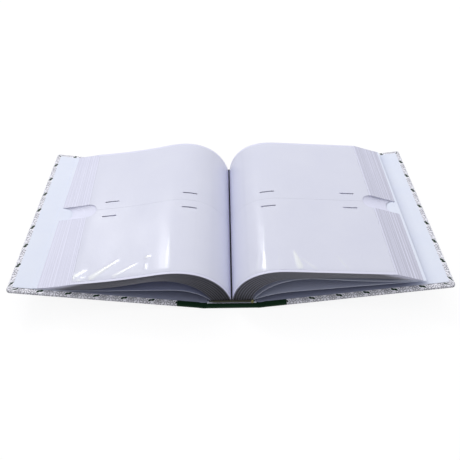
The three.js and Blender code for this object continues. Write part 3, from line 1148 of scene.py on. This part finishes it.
def tuft(node, side):
    """Short loose threads at one end of a band, each a thin tube that curls outwards."""
    start = band_middle(node) * [side, 1, 1]
    outward = math.copysign(1, start[1])
    grids = []
    for number in range(TUFT_THREADS):
        turn = 2 * math.pi * number / TUFT_THREADS
        run = np.linspace(0, 1, 7)
        swing = np.sin(math.pi * run)
        line = start + points_at(
            side * (TUFT_REACH * run - 0.8),
            outward * (0.6 + TUFT_CURL * math.cos(turn) * swing),
            TUFT_RISE * math.sin(turn) * swing - 0.3 * run,
        )
        thread = tube(line, TUFT_RADIUS * np.sqrt(np.clip(1 - run**6, 0, 1)) + 0.001, 6)
        grids.append({**thread, "shade": np.ones(len(thread["shade"]))})
    return grids


for node, side in (("tail_band", RIGHT), ("head_band", LEFT)):
    thread = make_piece(f"{node}_thread", band(node) + tuft(node, side), BAND_THREAD,
                        closed=True, merge=0.004)
    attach(thread, "spine")
    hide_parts(node)

# %% [markdown]
# ## Floor, light and camera
# The album lies on a plain white floor. Most of the light falls from a soft sky overhead, and a
# wide lamp behind helps it, so that the pages are bright and the cut ends that face the camera
# stay dark. A smaller lamp, behind on the left, draws the gloss lines on the film. To the
# camera, and to what mirrors it, the floor and the world are plain white.

# %% Floor
def seen_share(tree):
    """1 for rays from the camera and for mirrored or transmitted ones, 0 for rays of light."""
    path = add_node(tree, "ShaderNodeLightPath")
    rays = [Wire(tree, path.outputs[f"Is {kind} Ray"]) for kind in ("Camera", "Glossy", "Transmission")]
    return reduce(Wire.larger, rays)


def floor_finish():
    """A white floor that keeps a faint shadow: for the camera part of its white is its own."""
    finish, tree, shader = new_finish("studio_floor", roughness=0.9, specular=0.0)
    shader.inputs["Base Color"].default_value = colour(215, 215, 218)
    pale = add_node(tree, "ShaderNodeBsdfDiffuse", {"Color": colour(105, 105, 107)}).outputs[0]
    glow = add_node(tree, "ShaderNodeEmission", {"Strength": 0.89}).outputs[0]
    both = add_node(tree, "ShaderNodeAddShader", {0: pale, 1: glow}).outputs[0]
    surface = add_node(tree, "ShaderNodeMixShader", {0: seen_share(tree), 1: shader.outputs[0], 2: both})
    tree.links.new(surface.outputs[0], tree.nodes["Material Output"].inputs["Surface"])
    return finish


FLOOR_HALF = 4000.0
FLOOR_GAP = 0.2
corner = np.array([-FLOOR_HALF, FLOOR_HALF])
floor = make_piece("studio_floor", [grid(points_at(*np.meshgrid(corner, corner), -FLOOR_GAP))],
                   floor_finish())

# %% World and lamps
LIGHT_FROM_BEHIND, LIGHT_OVERHEAD = 0.1, 0.93
world = bpy.data.worlds.new("studio")
bpy.context.scene.world = world
world.use_nodes = True
sky = world.node_tree
background = sky.nodes["Background"]
background.inputs["Color"].default_value = (1, 1, 1, 1)
direction = add_node(sky, "ShaderNodeTexCoord").outputs["Generated"]
heading = add_node(sky, "ShaderNodeSeparateXYZ", {"Vector": direction})
from_behind = Wire(sky, heading.outputs["Y"]).ramp(-1.0, 0.6)
overhead = Wire(sky, heading.outputs["Z"]).ramp(0.2, 0.9)
soft_light = from_behind * LIGHT_FROM_BEHIND + overhead * LIGHT_OVERHEAD
strength = seen_share(sky)
strength = strength + soft_light * (strength * -1.0 + 1.0)
sky.links.new(strength.socket, background.inputs["Strength"])


def lamp(name, place, aim, width, depth, power):
    """A rectangular lamp at a place, in metres, that faces the point it is aimed at."""
    light = bpy.data.lights.new(name, "AREA")
    light.shape = "RECTANGLE"
    light.size = width
    light.size_y = depth
    light.energy = power
    holder = bpy.data.objects.new(name, light)
    holder.location = place
    gaze = np.array(aim) - np.array(place)
    across = math.hypot(gaze[0], gaze[1])
    holder.rotation_euler = (math.atan2(across, -gaze[2]), 0, math.atan2(-gaze[0], gaze[1]))
    bpy.context.scene.collection.objects.link(holder)
    return holder


soft_lamp = lamp("soft_lamp", (-0.2, 0.9, 1.5), (0, 0, 0), 1.2, 0.6, 5.6)
soft_lamp.visible_glossy = False
lamp("window_lamp", (-0.7, 1.05, 1.3), (0, -0.1, 0.05), 0.18, 0.34, 4.7)

# %% Camera
FOCAL_PIXELS, PICTURE_PIXELS = 480, 460
LOOKS_DOWN, TURNED = 45.92, -0.89
camera = bpy.data.cameras.new("camera")
camera.sensor_width = 36.0
camera.lens = camera.sensor_width * FOCAL_PIXELS / PICTURE_PIXELS
camera.clip_end = 20.0
viewer = bpy.data.objects.new("camera", camera)
viewer.location = (-0.0065, -0.4054, 0.4213)
viewer.rotation_euler = (math.radians(90 - LOOKS_DOWN), 0, math.radians(TURNED))
bpy.context.scene.collection.objects.link(viewer)
bpy.context.scene.camera = viewer
bpy.context.scene.view_settings.view_transform = "Standard"
